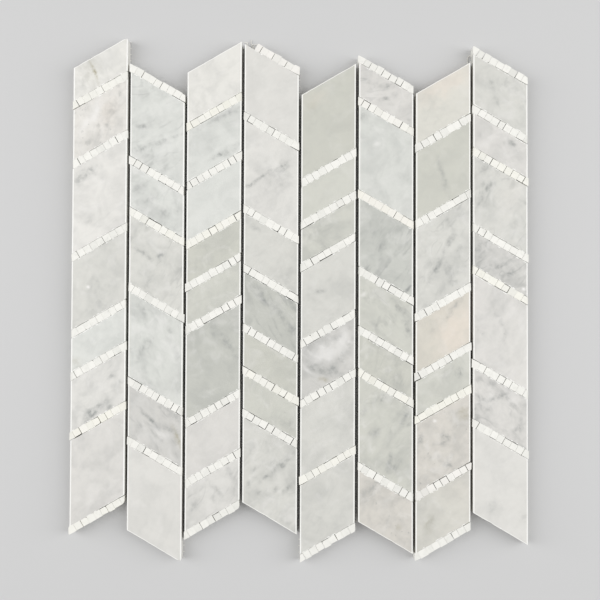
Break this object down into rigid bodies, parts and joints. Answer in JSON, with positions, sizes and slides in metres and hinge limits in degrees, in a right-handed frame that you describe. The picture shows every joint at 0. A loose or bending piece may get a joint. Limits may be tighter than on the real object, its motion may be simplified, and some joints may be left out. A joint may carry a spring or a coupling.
{
  "type": "marble mosaic tile sheet",
  "caption": "Flat mosaic sheet of slanted grey-veined marble tiles in chevron columns, with strips of small white marble chips between them, on a glass-fibre net.",
  "frame": {"origin": "middle of the sheet's back, on the plane that it lies on", "axes": "+Z out of the face of the stone, +Y along the columns towards the end at the top of the picture, +X across the columns to the right"},
  "size_m": [0.303, 0.3486, 0.0105],
  "materials": {
    "veined_marble": "honed, grey veins and clouds on white",
    "white_marble": "honed, plain white",
    "net": "white glass-fibre thread, stiff with glue"
  },
  "bodies": {
    "root": {"marble_tiles_column_1": "veined_marble", "marble_tiles_column_2": "veined_marble", "marble_tiles_column_3": "veined_marble", "marble_tiles_column_4": "veined_marble", "marble_tiles_column_5": "veined_marble", "marble_tiles_column_6": "veined_marble", "marble_tiles_column_7": "veined_marble", "marble_tiles_column_8": "veined_marble", "white_chips_column_1": "white_marble", "white_chips_column_2": "white_marble", "white_chips_column_3": "white_marble", "white_chips_column_4": "white_marble", "white_chips_column_5": "white_marble", "white_chips_column_6": "white_marble", "white_chips_column_7": "white_marble", "white_chips_column_8": "white_marble", "net_long_threads": "net", "net_cross_threads": "net"}
  },
  "joints": []
}
